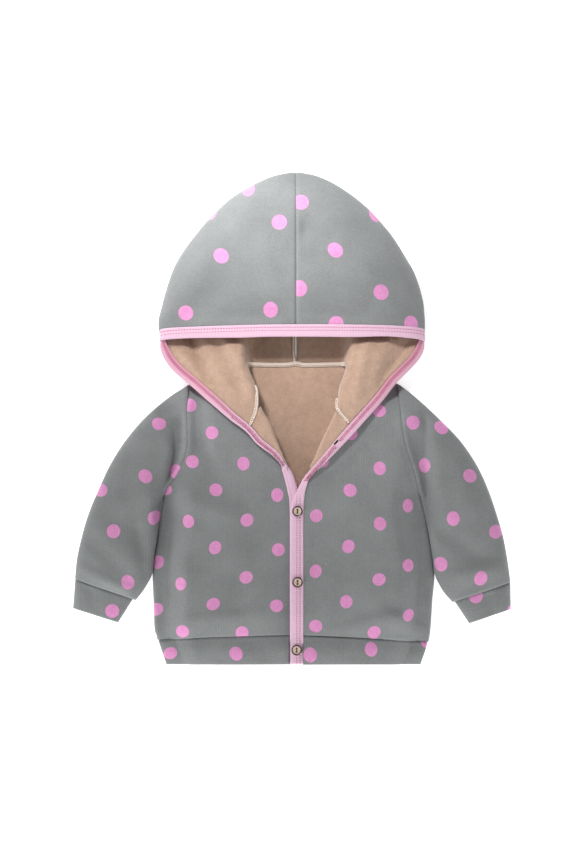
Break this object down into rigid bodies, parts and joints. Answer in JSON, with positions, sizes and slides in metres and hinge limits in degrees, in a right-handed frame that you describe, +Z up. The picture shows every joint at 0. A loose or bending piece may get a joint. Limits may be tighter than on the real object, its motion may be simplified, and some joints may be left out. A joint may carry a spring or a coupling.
{
  "type": "baby's button-up hoodie",
  "caption": "Baby's hooded jacket laid flat: dotted jersey body and sleeves, cuffs and a hem band, a pink binding round the hood and front edges, and buttons down the front.",
  "frame": {"origin": "middle of the jacket's outline on the surface it lies on", "axes": "+Z up out of the front, -Z into the surface; +Y from the hem towards the hood; +X towards the wearer's left arm"},
  "size_m": [0.483, 0.5426, 0.0521],
  "materials": {
    "dotted_jersey": "grey melange jersey printed with pink dots, fleecy peach inside",
    "pink_binding": "soft pink binding with two rows of stitches",
    "button": "pale satin face with a dark brown rim"
  },
  "bodies": {
    "root": {"back_panel": "dotted_jersey", "front_right": "dotted_jersey", "front_left": "dotted_jersey", "hood_right": "dotted_jersey", "hood_left": "dotted_jersey", "sleeve_right": "dotted_jersey", "sleeve_left": "dotted_jersey", "cuff_right": "dotted_jersey", "cuff_left": "dotted_jersey", "hem_band": "dotted_jersey", "binding": "pink_binding", "button_1": "button", "button_2": "button", "button_3": "button", "button_4": "button"}
  },
  "joints": []
}
